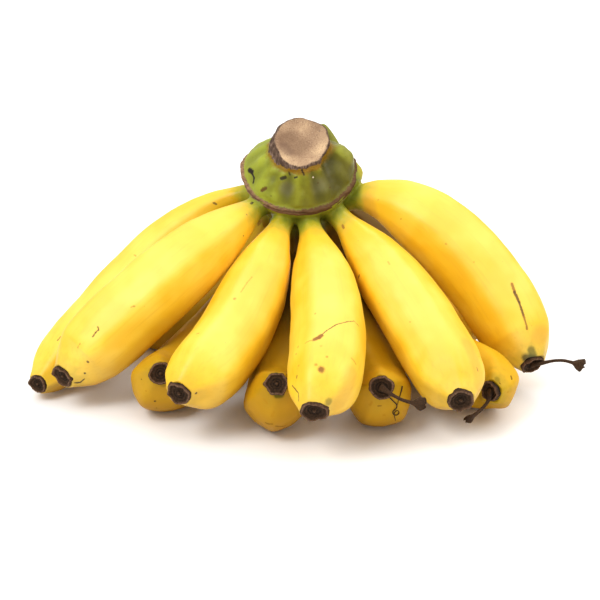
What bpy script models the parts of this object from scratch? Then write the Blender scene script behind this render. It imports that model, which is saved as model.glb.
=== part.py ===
"""A hand of small bananas, cut from its bunch and resting on the fingers of its lower row.

Metres, +Z up. The surface it lies on is z = 0 and -Y is towards the viewer.
One crown carries two rows of fingers, and each finger ends in the dry remains of its flower.
"""
from collections import namedtuple
from math import cos, exp, pi, radians, sin

import bmesh
import bpy
from mathutils import Vector

MM = 0.001

# Fit and fineness
GAP = 0.35 * MM              # between pieces that meet
FINGER_SIDES = 15            # three to each of a finger's five ridges
FINGER_RINGS = 17
CROWN_SIDES = 36             # three to each lobe of the crown
LENGTH_STEPS = 200           # straight steps that measure along a centreline

# Crown: it leans towards the viewer, and heights are measured along it from the scar ring
CROWN_CENTRE = Vector((-2.5, 52, 93.5)) * MM
CROWN_LEAN = radians(60)     # of its axis above the surface
CROWN_LOBES = 12
LOBE_DEPTH = 0.035           # share of the radius
CROWN_BACK_ROUNDNESS = 2.5   # 2 is an ellipse, more is squarer
STUB_TILT = 3.5 * MM         # the cut slopes down towards the front by this at its rim
STUB_LEAN = 1.2 * MM         # and the stub leans to the right
PAD_SWELL = 0.16             # share of the radius, on the right where a stalk is thick
PAD_SWELL_TURN = radians(94)
PAD_SWELL_WIDTH = radians(17)

# height and radius in mm, then shares: of the lobes, of the depth behind, of the stub, of the swell
Level = namedtuple("Level", "height radius lobed back stub swell")
CROWN_LEVELS = (
    Level(19.5, 13.2, 0.2, 1.00, 1.0, 0.0),   # rim of the cut stub
    Level(16.5, 13.8, 0.2, 0.95, 0.3, 0.0),
    Level(14.0, 15.2, 0.6, 0.85, 0.0, 0.0),
    Level(11.0, 18.8, 1.0, 0.76, 0.0, 0.0),   # lobed dome
    Level(7.0, 22.8, 1.0, 0.76, 0.0, 0.0),
    Level(3.0, 26.0, 0.8, 0.75, 0.0, 0.1),
    Level(0.8, 27.5, 0.1, 0.72, 0.0, 0.2),    # scar ring
    Level(-1.2, 27.5, 0.1, 0.72, 0.0, 0.4),
    Level(-3.0, 25.4, 0.1, 0.72, 0.0, 0.9),
    Level(-9.0, 23.8, 0.1, 0.72, 0.0, 1.5),   # pad that the stalks grow from
    Level(-16.0, 21.6, 0.1, 0.72, 0.0, 1.2),
    Level(-23.0, 17.6, 0.1, 0.72, 0.0, 0.0),
    Level(-28.0, 10.5, 0.1, 0.72, 0.0, 0.0),
)

# Fingers: each grows from a point round the crown's axis and bends to its own tip
ROOT_RADIUS = 15 * MM        # of the circle on which the stalks start, inside the pad
ROOT_DEPTH_UPPER = 9 * MM    # below the scar ring
ROOT_DEPTH_LOWER = 22 * MM
ROOT_DEPTH_SIDE = 18 * MM    # for the two hidden fingers
STALK_SHARE = 0.135          # of a finger's length that belongs to the crown
RIDGES = 5
RIDGE_HEIGHT = 0.025         # share of the radius
REST_HEIGHT = 0.0            # the surface that flattens what lies on it
FINGER_PROFILE = (           # share of the length, share of half the girth
    (0.00, 0.38),
    (0.10, 0.31),
    (0.20, 0.51),
    (0.30, 0.745),
    (0.45, 0.93),
    (0.62, 0.985),
    (0.78, 0.98),
    (0.88, 0.90),
    (0.94, 0.72),
    (0.98, 0.48),
    (1.00, 0.37),
)

# Dry flower ends
END_HEIGHT = 3.2 * MM
END_RECESS = 1.6 * MM
END_RIM = 0.66               # inner radius of the rim, as a share of its outer radius
END_SIDES = 12
STYLE_RADIUS = 0.7 * MM      # thin dry stalk that some flower ends keep
STYLE_SIDES = 6

# turn: degrees round the crown's axis, 0 in front, positive to the right
# tip: centre of the finger's end, in mm
# leaves, arrives, faces: bearing (0 towards the viewer, positive right) and dip below level,
#     in degrees, of the centreline at its root and at its tip and of the flower end
# reach: how far the centreline keeps to those directions, as shares of the straight distance
# girth, end: greatest width of the finger and width of its flower end, in mm
Finger = namedtuple("Finger", "name turn depth tip leaves arrives reach girth end faces style",
                    defaults=((),))

UPPER = ROOT_DEPTH_UPPER
LOWER = ROOT_DEPTH_LOWER
SIDE = ROOT_DEPTH_SIDE
# The old flower stalks are routes in mm from the flower end, and end in a small club
STYLE_UPPER_6 = ((0, 0, 0), (3.5, -2, 1), (8, -3, 3), (13, -3.5, 3.5), (18, -4, 2.5))
STYLE_LOWER_4 = ((0, 0, 0), (3, -3.5, -1), (6.5, -5.5, -2.2), (10, -7, -3), (13, -7.5, -3.6))
STYLE_LOWER_5 = ((0, 0, 0), (-1.5, -5, -2.8), (-5, -9, -4.2), (-8, -12, -5.2))
FINGERS = (
    Finger("upper_1", -79, 15 * MM, (-123, -8, 9), (-127, -6), (-26, 10), (0.30, 0.40), 28.0, 8.5, (-25, 5)),
    Finger("upper_2", -58, UPPER, (-109, -19, 18), (-35, 10), (-42, 22), (0.50, 0.20), 35.0, 12.5, (-39, 12)),
    Finger("upper_3", -17, UPPER, (-53, -57, 28), (-22, 30), (-33, 4), (0.45, 0.40), 33.5, 11.2, (-20, 9)),
    Finger("upper_4", 9, UPPER, (4, -75, 29), (17, 36), (-20, 17), (0.30, 0.30), 33.5, 13.4, (-7, 24)),
    Finger("upper_5", 44, UPPER, (66, -58, 25.5), (59, 29), (5, 4), (0.25, 0.23), 33.5, 12.0, (7, 16)),
    Finger("upper_6", 68, 20 * MM, (106, -1, 16), (68, -33), (22, 38), (0.40, 0.35), 37.0, 12.0, (20, 31),
           STYLE_UPPER_6),
    Finger("lower_1", -86, SIDE, (-88, 50, 14), (-107, 90), (-66, -14), (0.40, 0.40), 30.0, 10.0, (-66, -14)),
    Finger("lower_2", -34, LOWER, (-63.5, -34, 26), (-32, 56), (22, -46), (0.50, 0.40), 30.0, 10.0, (8, -24)),
    Finger("lower_3", -4, LOWER, (-12, -53, 30), (-3, 56), (10, -59), (0.40, 0.45), 28.5, 10.2, (2, -26)),
    Finger("lower_4", 23, LOWER, (33, -50, 27), (25, 41), (-8, -48), (0.40, 0.45), 30.0, 11.4, (-4, -18),
           STYLE_LOWER_4),
    Finger("lower_5", 56, LOWER, (82.5, -36, 18.4), (56, 64), (-24, -6), (0.66, 0.23), 29.5, 9.8, (-32, -10),
           STYLE_LOWER_5),
    Finger("lower_6", 89, SIDE, (87, 48, 14), (115, 40), (65, -14), (0.40, 0.40), 30.0, 10.0, (65, -14)),
)


def clear_scene():
    for obj in list(bpy.data.objects):
        bpy.data.objects.remove(obj, do_unlink=True)


def material(name, colour, roughness):
    mat = bpy.data.materials.new(name)
    mat.use_nodes = True
    shader = mat.node_tree.nodes["Principled BSDF"]
    shader.inputs["Base Color"].default_value = (*colour, 1)
    shader.inputs["Roughness"].default_value = roughness
    shader.inputs["Metallic"].default_value = 0
    return mat


def crown_axes():
    """The crown's own directions: along its axis, to its front and to its right."""
    along = Vector((0, -cos(CROWN_LEAN), sin(CROWN_LEAN)))
    front = Vector((0, -sin(CROWN_LEAN), -cos(CROWN_LEAN)))
    return along, front, Vector((1, 0, 0))


def heading(bearing, dip):
    b, d = radians(bearing), radians(dip)
    return Vector((sin(b) * cos(d), -cos(b) * cos(d), -sin(d)))


def smooth_through(points, x):
    """A smooth line through rising points that never overshoots them, read at x."""
    xs, ys = [p[0] for p in points], [p[1] for p in points]
    slopes = [(ys[i + 1] - ys[i]) / (xs[i + 1] - xs[i]) for i in range(len(xs) - 1)]
    bends = [slopes[0]]
    for before, after in zip(slopes, slopes[1:]):
        bends.append(0 if before * after <= 0 else 2 * before * after / (before + after))
    bends.append(slopes[-1])
    i = max(k for k in range(len(slopes)) if x >= xs[k] or k == 0)
    step = xs[i + 1] - xs[i]
    t = min(1, (x - xs[i]) / step)
    rise = (ys[i + 1] - ys[i]) * t * t * (3 - 2 * t)
    ends = step * (t * (1 - t) * (1 - t) * bends[i] - t * t * (1 - t) * bends[i + 1])
    return ys[i] + rise + ends


def centreline(finger):
    """The curve down the middle of a finger, read at a share of its length."""
    along, front, right = crown_axes()
    turn = radians(finger.turn)
    outwards = cos(turn) * front + sin(turn) * right
    start = CROWN_CENTRE + outwards * ROOT_RADIUS - along * finger.depth
    end = Vector(finger.tip) * MM
    distance = (end - start).length
    first = start + heading(*finger.leaves) * finger.reach[0] * distance
    last = end - heading(*finger.arrives) * finger.reach[1] * distance

    def point(t):
        u = 1 - t
        return start * u**3 + first * 3 * u * u * t + last * 3 * u * t * t + end * t**3

    walk = [point(i / LENGTH_STEPS) for i in range(LENGTH_STEPS + 1)]
    lengths = [0.0]
    for a, b in zip(walk, walk[1:]):
        lengths.append(lengths[-1] + (b - a).length)

    def at(share):
        wanted = share * lengths[-1]
        i = max(k for k in range(LENGTH_STEPS) if lengths[k] <= wanted)
        part = (wanted - lengths[i]) / (lengths[i + 1] - lengths[i])
        return walk[i].lerp(walk[i + 1], min(1, part))

    return at


def finger_rings(finger, first, last, count):
    """Rings of points round the centreline between two shares of its length."""
    at = centreline(finger)
    spread = 0.4  # rings lie closer near both ends
    rings = []
    side, before = Vector((0, 0, 1)), None
    for i in range(count):
        t = i / (count - 1)
        share = first + (last - first) * (t - spread * sin(2 * pi * t) / (2 * pi))
        step = 0.004
        ahead = (at(min(1, share + step)) - at(max(0, share - step))).normalized()
        turned_to_face = max(0, (share - 0.9) / 0.1)
        ahead = ahead.lerp(heading(*finger.faces), turned_to_face).normalized()
        if before is None:
            side = (side - ahead * side.dot(ahead)).normalized()
        else:
            side = before.rotation_difference(ahead) @ side
        before = ahead
        across = ahead.cross(side)
        radius = smooth_through(FINGER_PROFILE, share) * finger.girth / 2 * MM
        ring = []
        for k in range(FINGER_SIDES):
            angle = 2 * pi * k / FINGER_SIDES
            r = radius * (1 + RIDGE_HEIGHT * cos(RIDGES * angle))
            ring.append(at(share) + (side * cos(angle) + across * sin(angle)) * r)
        rings.append(ring)
    return rings


def loft(name, rings, mat):
    """A closed solid through rings of points, with a flat face at each end."""
    bm = bmesh.new()
    loops = [[bm.verts.new(point) for point in ring] for ring in rings]
    for a, b in zip(loops, loops[1:]):
        for k in range(len(a)):
            n = (k + 1) % len(a)
            bm.faces.new((a[k], a[n], b[n], b[k]))
    bm.faces.new(reversed(loops[0]))
    bm.faces.new(loops[-1])
    bmesh.ops.recalc_face_normals(bm, faces=bm.faces)
    mesh = bpy.data.meshes.new(name)
    bm.to_mesh(mesh)
    bm.free()
    mesh.materials.append(mat)
    obj = bpy.data.objects.new(name, mesh)
    bpy.context.scene.collection.objects.link(obj)
    return obj


def shade(obj):
    obj.data.shade_smooth()
    obj.data.set_sharp_from_angle(angle=radians(40))


def combine(obj, others, operation):
    """Joins other solids to a solid, or cuts them from it, and removes them."""
    for other in others:
        step = obj.modifiers.new(operation.title(), "BOOLEAN")
        step.operation = operation
        step.object = other
        bpy.context.view_layer.update()
        evaluated = obj.evaluated_get(bpy.context.evaluated_depsgraph_get())
        result = bpy.data.meshes.new_from_object(evaluated)
        obj.modifiers.remove(step)
        obj.data = result
    for other in others:
        bpy.data.objects.remove(other, do_unlink=True)


def crown_rings():
    """Lobed rings from the cut stub down to the pad, flattened behind the axis."""
    along, front, right = crown_axes()
    rings = []
    for level in CROWN_LEVELS:
        centre = CROWN_CENTRE + along * level.height * MM + right * STUB_LEAN * level.stub
        ring = []
        for k in range(CROWN_SIDES):
            angle = 2 * pi * k / CROWN_SIDES
            lobe = LOBE_DEPTH * level.lobed * cos(CROWN_LOBES * angle)
            swell = PAD_SWELL * level.swell * exp(-((angle - PAD_SWELL_TURN) / PAD_SWELL_WIDTH)**2)
            radius = level.radius * MM * (1 + lobe + swell)
            forward, sideways = cos(angle), sin(angle)
            if forward < 0 and level.back < 1:
                power = 2 / CROWN_BACK_ROUNDNESS
                forward = -level.back * abs(forward)**power
                sideways = abs(sideways)**power * (1 if sideways > 0 else -1)
            tilt = -along * STUB_TILT * level.stub * cos(angle)
            ring.append(centre + tilt + (front * forward + right * sideways) * radius)
        rings.append(ring)
    return rings


def make_crown(skin):
    crown = loft("crown", crown_rings(), skin)
    stalks = []
    for finger in FINGERS:
        rings = finger_rings(finger, 0, STALK_SHARE, 5)
        stalks.append(loft("stalk_" + finger.name, rings, skin))
    combine(crown, stalks, "UNION")
    shade(crown)
    return crown


def make_finger(finger, skin):
    at = centreline(finger)
    measured = sum((at((i + 1) / 20) - at(i / 20)).length for i in range(20))
    first = STALK_SHARE + GAP / measured
    obj = loft("finger_" + finger.name, finger_rings(finger, first, 1, FINGER_RINGS), skin)
    if finger.name.startswith("lower"):
        bpy.ops.mesh.primitive_cube_add(size=0.4, location=(0, 0, REST_HEIGHT - 0.2))
        combine(obj, [bpy.context.object], "DIFFERENCE")
    shade(obj)
    return obj


def make_flower_end(finger, dry):
    """A low cup with a raised rim and a nub, just clear of the finger's cut-off tip."""
    facing = heading(*finger.faces)
    side = facing.cross(Vector((0, 0, 1))).normalized()
    across = facing.cross(side)
    tip = Vector(finger.tip) * MM
    outer = finger.end / 2 * MM

    def ring(height, share):
        centre = tip + facing * height
        points = []
        for k in range(END_SIDES):
            angle = 2 * pi * k / END_SIDES
            r = outer * share * (1 + 0.04 * cos(angle * 6))
            points.append(centre + (side * cos(angle) + across * sin(angle)) * r)
        return points

    rings = [
        ring(GAP, 0.96),
        ring(END_HEIGHT * 0.5, 1.0),
        ring(END_HEIGHT, 0.9),
        ring(END_HEIGHT, END_RIM),
        ring(END_HEIGHT - END_RECESS, END_RIM * 0.75),
        ring(END_HEIGHT - END_RECESS, END_RIM * 0.45),
        ring(END_HEIGHT - END_RECESS * 0.3, END_RIM * 0.25),
    ]
    obj = loft("flower_end_" + finger.name, rings, dry)
    if finger.style:
        start = tip + facing * (END_HEIGHT - END_RECESS - STYLE_RADIUS)
        combine(obj, [make_style(start, finger.style, dry)], "UNION")
    shade(obj)
    return obj


def make_style(start, route, dry):
    """The thin dry stalk of the old flower, with a small club at its end."""
    points = [start + Vector(p) * MM for p in route]
    last = (points[-1] - points[-2]).normalized()
    swell = [1.0] * len(points)
    for distance, share in ((1.2, 2.4), (2.8, 3.4), (4.4, 3.0), (5.2, 1.4)):
        points.append(points[len(route) - 1] + last * distance * MM)
        swell.append(share)
    rings = []
    for i, point in enumerate(points):
        ahead = (points[min(i + 1, len(points) - 1)] - points[max(i - 1, 0)]).normalized()
        side = ahead.cross(Vector((0, 0, 1))).normalized()
        across = ahead.cross(side)
        ring = []
        for k in range(STYLE_SIDES):
            angle = 2 * pi * k / STYLE_SIDES
            ring.append(point + (side * cos(angle) + across * sin(angle)) * STYLE_RADIUS * swell[i])
        rings.append(ring)
    return loft("style", rings, dry)


def main():
    clear_scene()
    ripe = material("ripe_banana_skin", (0.92, 0.62, 0.03), 0.42)
    green = material("green_crown_skin", (0.27, 0.32, 0.04), 0.5)
    dry = material("dried_flower", (0.03, 0.018, 0.013), 0.9)
    make_crown(green)
    for finger in FINGERS:
        make_finger(finger, ripe)
        make_flower_end(finger, dry)


main()
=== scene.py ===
# %% [markdown]
# # A hand of small bananas
#
# The real object is one hand cut from a bunch: a green crown that ends in a corky cut, two rows of
# ripe fingers that grow out of it, and the dry remains of a flower at the end of each finger.
# It lies with the fingers of its lower row on a pale table.
#
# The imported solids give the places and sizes. Each is replaced here by a finer piece that keeps its
# form, so this lesson is about organic shapes: outlines grown by extruding, sections laid along a
# bent line, stalks that melt into each other, and skin that is coloured by where it grew.

import math

import bpy
import numpy as np
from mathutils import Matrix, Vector, kdtree


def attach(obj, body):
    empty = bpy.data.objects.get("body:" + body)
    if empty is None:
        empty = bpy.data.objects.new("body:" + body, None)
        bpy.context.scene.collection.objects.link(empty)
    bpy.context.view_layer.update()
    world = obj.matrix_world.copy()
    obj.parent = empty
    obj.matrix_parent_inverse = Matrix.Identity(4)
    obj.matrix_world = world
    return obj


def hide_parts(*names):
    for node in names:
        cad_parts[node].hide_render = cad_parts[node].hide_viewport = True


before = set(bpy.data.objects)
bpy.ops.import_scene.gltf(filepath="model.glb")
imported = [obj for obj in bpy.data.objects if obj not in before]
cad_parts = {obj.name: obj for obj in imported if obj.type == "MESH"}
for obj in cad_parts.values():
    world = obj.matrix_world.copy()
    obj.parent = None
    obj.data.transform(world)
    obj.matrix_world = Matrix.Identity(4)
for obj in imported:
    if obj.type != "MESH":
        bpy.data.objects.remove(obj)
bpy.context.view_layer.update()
MM = 0.001

# %% [markdown]
# ## Camera
#
# The photograph looks down on the hand from straight in front, with a long lens, so that the tips
# that reach towards the viewer are hardly larger than the crown behind them. A long lens on a
# camera that is aimed at a named point repeats this better than a shift of the frame would.

# %% Aim the camera
CAMERA_DISTANCE = 620 * MM
CAMERA_HEIGHT_ANGLE = math.radians(22)
CAMERA_TARGET = Vector((-2, 8, 44)) * MM
LENS_MM = 80
SENSOR_MM = 36

bpy.ops.object.select_all(action="DESELECT")
towards_camera = Vector((0, -math.cos(CAMERA_HEIGHT_ANGLE), math.sin(CAMERA_HEIGHT_ANGLE)))
bpy.ops.object.camera_add(location=CAMERA_TARGET + towards_camera * CAMERA_DISTANCE)
camera = bpy.context.object
camera.name = "camera"
camera.rotation_euler = towards_camera.to_track_quat("Z", "Y").to_euler()
camera.data.lens = LENS_MM
camera.data.sensor_width = SENSOR_MM
camera.data.clip_start = 0.01
bpy.context.scene.camera = camera
print("camera at", [round(v, 4) for v in camera.location])

# %% [markdown]
# ## Finding a place from the photograph
#
# Bruises and dents belong where the photograph shows them. A ray through a pixel of the photograph,
# sent from the camera, meets the fruit at that place, so such things are listed in pixels below.

# %% From pixels to the fruit
PHOTO_PIXELS = 600


def seen_at(pixel, obj):
    """Where the camera sees this piece through a pixel, in metres, or None beside it."""
    half = PHOTO_PIXELS / 2
    width = SENSOR_MM / LENS_MM / PHOTO_PIXELS
    aim = Vector(((pixel[0] - half) * width, (half - pixel[1]) * width, -1))
    aim.rotate(camera.rotation_euler)
    hit, place, _, _ = obj.ray_cast(camera.location, aim.normalized())
    return place if hit else None


print("a pixel is", round(CAMERA_DISTANCE * SENSOR_MM / LENS_MM / PHOTO_PIXELS / MM, 2), "mm at the hand")

# %% [markdown]
# ## Light and floor
#
# The fruit was lit softly from above and from the left, on white. A large area lamp gives the broad
# waxy highlight along each finger, and a second one opens the shade on the right with a warmer tone.
# One above pales the tops, one keeps the table bright far behind, and a pale world fills the rest.
# Colours are written as they look on a screen, and one function turns them into the linear values
# that the shaders work with.

# %% Colours from hex
def colour(hex_value):
    """Linear red, green, blue and alpha of an sRGB hex colour."""
    parts = [int(hex_value[i:i + 2], 16) / 255 for i in (1, 3, 5)]
    linear = [p / 12.92 if p <= 0.04045 else ((p + 0.055) / 1.055) ** 2.4 for p in parts]
    return (*linear, 1.0)


print("#808080 in linear values:", [round(v, 3) for v in colour("#808080")[:3]])

# %% One function adds a node
MATH, VECTOR, NOISE = "ShaderNodeMath", "ShaderNodeVectorMath", "ShaderNodeTexNoise"
RANGE, MIX, RAMP, BUMP = "ShaderNodeMapRange", "ShaderNodeMix", "ShaderNodeValToRGB", "ShaderNodeBump"
PLACE, REMEMBERED = "ShaderNodeTexCoord", "ShaderNodeAttribute"
SURFACE, SPLIT = "ShaderNodeNewGeometry", "ShaderNodeSeparateXYZ"
FACTOR, FIRST, SECOND, RESULT = 0, 6, 7, 2   # the sockets of a Mix node for colours


def set_inputs(tree, node, inputs):
    """Gives inputs of a node a value each, or a link to the output of another node."""
    for socket, value in inputs.items():
        if isinstance(value, bpy.types.NodeSocket):
            tree.links.new(value, node.inputs[socket])
        else:
            node.inputs[socket].default_value = value


def add(tree, kind, inputs=None, out=0, stops=None, **settings):
    """Adds a node with its settings, inputs and colour stops, and returns one output."""
    made = tree.nodes.new(kind)
    for name, value in settings.items():
        setattr(made, name, value)
    set_inputs(tree, made, inputs or {})
    if stops:
        ramp = made.color_ramp.elements
        while len(ramp) < len(stops):
            ramp.new(1.0)
        for element, (place, hex_value) in zip(ramp, stops):
            element.position = place
            element.color = colour(hex_value)
    return made.outputs[out]


def new_material(name):
    """An empty material with a Principled shader, as itself, its tree and its shader."""
    material = bpy.data.materials.new(name)
    material.use_nodes = True
    return material, material.node_tree, material.node_tree.nodes["Principled BSDF"]


print("node helpers ready")

# %% Lamps, world and floor
WORLD_STRENGTH, FLOOR_SIZE = 0.66, 30


def add_lamp(name, place, size, watts, hex_value, aim=CAMERA_TARGET):
    bpy.ops.object.light_add(type="AREA", location=place)
    lamp = bpy.context.object
    lamp.name = name
    lamp.rotation_euler = (Vector(place) - Vector(aim)).to_track_quat("Z", "Y").to_euler()
    lamp.data.size = size
    lamp.data.energy = watts
    lamp.data.color = colour(hex_value)[:3]


add_lamp("lamp_key", (-0.50, -0.45, 0.80), 0.45, 5.7, "#FFFFFF")
add_lamp("lamp_warm_side", (0.75, 0.0, 0.65), 0.6, 2.8, "#FFF0DC")
add_lamp("lamp_above", (0.15, 0.15, 0.85), 1.5, 7.6, "#FFFFFF")
add_lamp("lamp_far_floor", (0.0, 1.5, 1.2), 1.2, 7.5, "#FFFFFF", aim=(0.0, 1.5, 0.0))

world = bpy.data.worlds.new("pale_room")
world.use_nodes = True
background = world.node_tree.nodes["Background"]
set_inputs(world.node_tree, background, {"Color": colour("#FFFFFF"), "Strength": WORLD_STRENGTH})
bpy.context.scene.world = world
bpy.context.scene.view_settings.view_transform = "Standard"

bpy.ops.mesh.primitive_plane_add(size=FLOOR_SIZE)
floor = bpy.context.object
floor.name = "floor"
floor_paint, tree, shader = new_material("matt white paint")
set_inputs(tree, shader, {"Base Color": colour("#F7F7F7"), "Roughness": 0.9})
floor.data.materials.append(floor_paint)

# %% [markdown]
# ## How a finger is laid out
#
# A finger starts inside the crown, leaves it in one direction and arrives at its tip in another.
# A cubic curve between the two follows from four points, and it is measured so that a share of the
# finger's length always means the same place on it. The last tenth also turns to face the way its
# dry flower points. By hand a Curve modifier would bend a straight model, but it can't turn the
# sections at the tip, so here every point is moved with its own cross-section instead.

# %% The twelve fingers
CROWN_CENTRE = Vector((-2.5, 52, 93.5)) * MM
CROWN_LEAN = math.radians(60)
CROWN_ALONG = Vector((0, -math.cos(CROWN_LEAN), math.sin(CROWN_LEAN)))
CROWN_FRONT = Vector((0, -math.sin(CROWN_LEAN), -math.cos(CROWN_LEAN)))
ROOT_RADIUS = 15 * MM
UPPER, LOWER, SIDE = 9 * MM, 22 * MM, 18 * MM

# turn round the crown, depth of the root below the scar, tip in mm, then bearing and dip of the line
# where it leaves and arrives, how far it keeps to them, and the girth in mm; then the width of the
# flower end in mm and where it faces; last how far the finger is rolled about its length, in degrees
FINGERS = {
    "upper_1": (-79, 15 * MM, (-123, -8, 9), (-127, -6), (-26, 10), (0.30, 0.40), 28.0, 8.5, (-25, 5), 10),
    "upper_2": (-58, UPPER, (-109, -19, 18), (-35, 10), (-42, 22), (0.50, 0.20), 35.0, 12.5, (-39, 12), 20),
    "upper_3": (-17, UPPER, (-53, -57, 28), (-22, 30), (-33, 4), (0.45, 0.40), 33.5, 11.2, (-20, 9), 0),
    "upper_4": (9, UPPER, (4, -75, 29), (17, 36), (-20, 17), (0.30, 0.30), 33.5, 13.4, (-7, 24), 30),
    "upper_5": (44, UPPER, (66, -58, 25.5), (59, 29), (5, 4), (0.25, 0.23), 33.5, 12.0, (7, 16), 20),
    "upper_6": (68, 20 * MM, (106, -1, 16), (68, -33), (22, 38), (0.40, 0.35), 37.0, 12.0, (20, 31), 0),
    "lower_1": (-86, SIDE, (-88, 50, 14), (-107, 90), (-66, -14), (0.40, 0.40), 30.0, 10.0, (-66, -14), 0),
    "lower_2": (-34, LOWER, (-63.5, -34, 26), (-32, 56), (22, -46), (0.50, 0.40), 30.0, 10.0, (8, -24), 15),
    "lower_3": (-4, LOWER, (-12, -53, 30), (-3, 56), (10, -59), (0.40, 0.45), 28.5, 10.2, (2, -26), 36),
    "lower_4": (23, LOWER, (33, -50, 27), (25, 41), (-8, -48), (0.40, 0.45), 30.0, 11.4, (-4, -18), 10),
    "lower_5": (56, LOWER, (82.5, -36, 18.4), (56, 64), (-24, -6), (0.66, 0.23), 30.5, 9.8, (-32, -10), 0),
    "lower_6": (89, SIDE, (87, 48, 14), (115, 40), (65, -14), (0.40, 0.40), 30.0, 10.0, (65, -14), 0),
}
STATIONS = 120
TURNING_TO_FACE = 0.9


# %% Measure each finger's line
WALK_STEPS = 400           # points on the curve from which its length is measured


def heading(bearing, dip):
    b, d = math.radians(bearing), math.radians(dip)
    return Vector((math.sin(b) * math.cos(d), -math.cos(b) * math.cos(d), -math.sin(d)))


class Line:
    """A walk through space: its length, and at even shares of it a place and two directions across."""

    def __init__(self, walk, faces=None):
        walk = np.array(walk)
        lengths = np.append(0, np.cumsum(np.linalg.norm(np.diff(walk, axis=0), axis=1)))
        self.length = float(lengths[-1])
        shares = np.linspace(0, 1, STATIONS + 1)
        stations = shares * self.length
        self.place = np.stack([np.interp(stations, lengths, walk[:, k]) for k in range(3)], axis=1)
        self.side, self.across = [], []
        side, before = Vector((0, 0, 1)), None
        for direction, share in zip(np.gradient(self.place, axis=0), shares):
            ahead = Vector(direction).normalized()
            if faces and share > TURNING_TO_FACE:
                ahead = ahead.lerp(faces, (share - TURNING_TO_FACE) / (1 - TURNING_TO_FACE)).normalized()
            if before is None:
                side = (side - ahead * side.dot(ahead)).normalized()
            else:
                side = before.rotation_difference(ahead) @ side
            before = ahead
            self.side.append(side.copy())
            self.across.append(ahead.cross(side))
        self.side, self.across = np.array(self.side), np.array(self.across)


def finger_line(turn, depth, tip, leaves, arrives, reach, girth, end, faces, roll):
    angle = math.radians(turn)
    outwards = math.cos(angle) * CROWN_FRONT + math.sin(angle) * Vector((1, 0, 0))
    start = CROWN_CENTRE + outwards * ROOT_RADIUS - CROWN_ALONG * depth
    tip = Vector(tip) * MM
    span = (tip - start).length
    first = start + heading(*leaves) * reach[0] * span
    last = tip - heading(*arrives) * reach[1] * span
    t = np.linspace(0, 1, WALK_STEPS)[:, None]
    weights = ((1 - t) ** 3, 3 * (1 - t) ** 2 * t, 3 * (1 - t) * t * t, t ** 3)
    faces = heading(*faces)
    line = Line(sum(w * np.array(c) for w, c in zip(weights, (start, first, last, tip))), faces)
    line.girth, line.end, line.tip, line.faces, line.roll = girth * MM, end * MM, tip, faces, roll
    return line


LINES = {name: finger_line(*values) for name, values in FINGERS.items()}
print("lengths in mm:", {name: round(line.length / MM) for name, line in LINES.items()})

# %% [markdown]
# ## Growing a form from a circle
#
# Fingers, stalks, crown and flower ends are all stacks of rings. By hand one adds a circle, extrudes
# it and scales the new ring, again and again, and that is what this helper does with the same
# operators. A second helper moves every point of a mesh by a rule, for shapes that grew.

# %% Helpers for mesh pieces
def only(*objects):
    """Selects these objects and makes the first one active."""
    bpy.ops.object.select_all(action="DESELECT")
    for obj in objects:
        obj.select_set(True)
    bpy.context.view_layer.objects.active = objects[0]


def grow(name, sides, rings):
    """A closed form grown up from a circle, through rings of a height and a radius."""
    bpy.ops.object.select_all(action="DESELECT")
    (height, radius), *rest = rings
    bpy.ops.mesh.primitive_circle_add(vertices=sides, radius=radius, fill_type="NGON")
    obj = bpy.context.object
    obj.name = obj.data.name = name
    bpy.ops.object.mode_set(mode="EDIT")
    bpy.ops.mesh.select_all(action="SELECT")
    bpy.ops.transform.translate(value=(0, 0, height))
    for next_height, next_radius in rest:
        step = (0, 0, next_height - height)
        bpy.ops.mesh.extrude_region_move(TRANSFORM_OT_translate={"value": step})
        share = next_radius / radius
        bpy.ops.transform.resize(value=(share, share, 1), center_override=(0, 0, next_height))
        height, radius = next_height, next_radius
    bpy.ops.mesh.select_all(action="SELECT")
    bpy.ops.mesh.normals_make_consistent(inside=False)
    bpy.ops.object.mode_set(mode="OBJECT")
    return obj


def points_of(obj):
    points = np.zeros(len(obj.data.vertices) * 3)
    obj.data.vertices.foreach_get("co", points)
    return points.reshape(-1, 3)


def move_points(obj, points):
    obj.data.vertices.foreach_set("co", np.ascontiguousarray(points, dtype=np.float32).ravel())
    obj.data.update()


def widened(points, scale):
    """Points moved away from the Z axis."""
    return points * np.stack([scale, scale, np.ones_like(scale)], axis=1)


def turned(points, degrees):
    """Points turned about the Z axis."""
    turn = math.radians(degrees)
    x = points[:, 0] * math.cos(turn) - points[:, 1] * math.sin(turn)
    y = points[:, 0] * math.sin(turn) + points[:, 1] * math.cos(turn)
    return np.stack([x, y, points[:, 2]], axis=1)


def finish_with(obj, kind, **settings):
    """Adds one modifier and applies it."""
    only(obj)
    modifier = obj.modifiers.new(kind.title(), kind)
    for name, value in settings.items():
        setattr(modifier, name, value)
    bpy.ops.object.modifier_apply(modifier=modifier.name)


def roughen(obj, texture, depth):
    finish_with(obj, "DISPLACE", texture=texture, strength=depth, mid_level=0.5)


def remember(obj, name, values):
    """Keeps a value for each point of a mesh, or one for all, which a material can read by its name."""
    values = np.asarray(values, dtype=np.float32)
    if values.ndim == 0:
        values = np.full(len(obj.data.vertices), values)
    kind, key = ("FLOAT", "value") if values.ndim == 1 else ("FLOAT_VECTOR", "vector")
    attribute = obj.data.attributes.new(name, kind, "POINT")
    attribute.data.foreach_set(key, values.ravel())


def copy_of(obj, name):
    copy = obj.copy()
    copy.data = obj.data.copy()
    copy.name = copy.data.name = name
    bpy.context.scene.collection.objects.link(copy)
    return copy


def soft_clouds(name, size, depth=2):
    texture = bpy.data.textures.new(name, "CLOUDS")
    texture.noise_scale = size
    texture.noise_depth = depth
    return texture


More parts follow.
